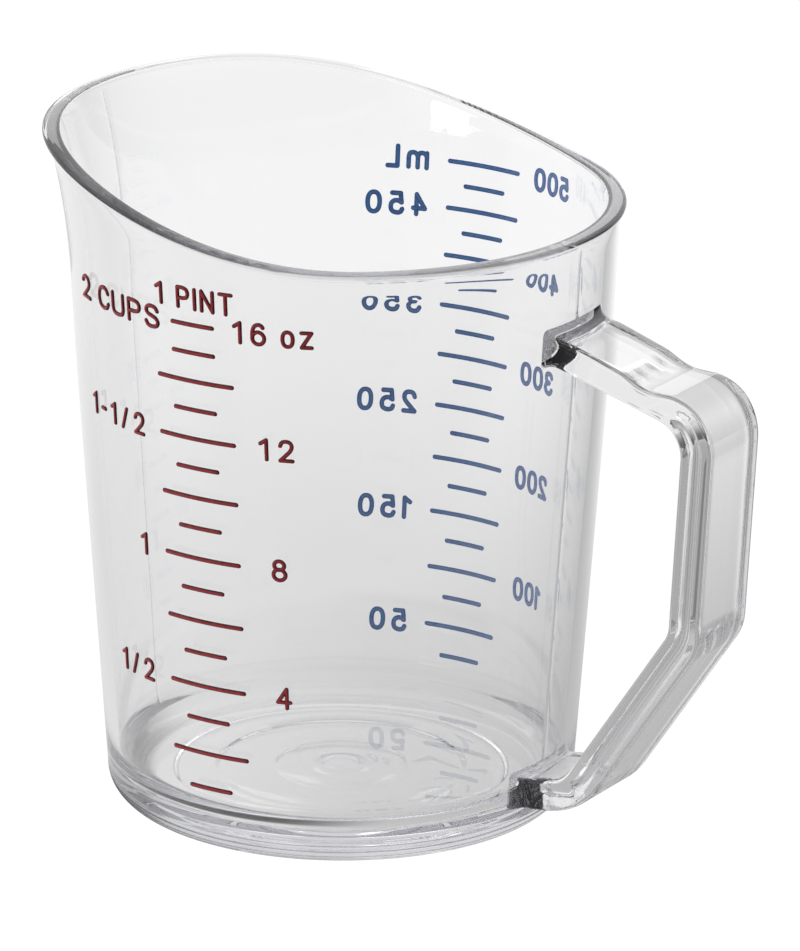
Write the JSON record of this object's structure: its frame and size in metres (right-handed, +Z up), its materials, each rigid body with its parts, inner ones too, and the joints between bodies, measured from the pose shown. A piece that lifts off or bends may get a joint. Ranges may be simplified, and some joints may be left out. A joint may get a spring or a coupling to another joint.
{
  "type": "measuring cup",
  "caption": "Clear one-pint measuring cup with a tapered body, a rim that rises to a pouring lip, an angled strap handle and two raised volume scales.",
  "frame": {"origin": "on the table, under the middle of the whole cup with its handle; the vessel's own axis stands at x = -12.46 mm", "axes": "+X from the pouring lip towards the handle, +Y from the ounce scale towards the millilitre scale, +Z up"},
  "size_m": [0.1278, 0.0964, 0.1181],
  "materials": {
    "clear_plastic": "clear moulded plastic, polished",
    "red_ink": "dark red ink over raised marks, satin",
    "blue_ink": "blue ink over raised marks, satin"
  },
  "bodies": {
    "root": {"cup_body": "clear_plastic", "handle": "clear_plastic", "ounce_mark_01": "red_ink", "ounce_mark_02": "red_ink", "ounce_mark_03": "red_ink", "ounce_mark_04": "red_ink", "ounce_mark_05": "red_ink", "ounce_mark_06": "red_ink", "ounce_mark_07": "red_ink", "ounce_mark_08": "red_ink", "ounce_mark_09": "red_ink", "ounce_mark_10": "red_ink", "ounce_mark_11": "red_ink", "ounce_mark_12": "red_ink", "ounce_mark_13": "red_ink", "ounce_mark_14": "red_ink", "ounce_mark_15": "red_ink", "ounce_mark_16": "red_ink", "ml_mark_01": "blue_ink", "ml_mark_02": "blue_ink", "ml_mark_03": "blue_ink", "ml_mark_04": "blue_ink", "ml_mark_05": "blue_ink", "ml_mark_06": "blue_ink", "ml_mark_07": "blue_ink", "ml_mark_08": "blue_ink", "ml_mark_09": "blue_ink", "ml_mark_10": "blue_ink", "ml_mark_11": "blue_ink", "ml_mark_12": "blue_ink", "ml_mark_13": "blue_ink", "ml_mark_14": "blue_ink", "ml_mark_15": "blue_ink", "ml_mark_16": "blue_ink", "ml_mark_17": "blue_ink", "ml_mark_18": "blue_ink", "ml_mark_19": "blue_ink", "ml_mark_20": "blue_ink"}
  },
  "joints": []
}
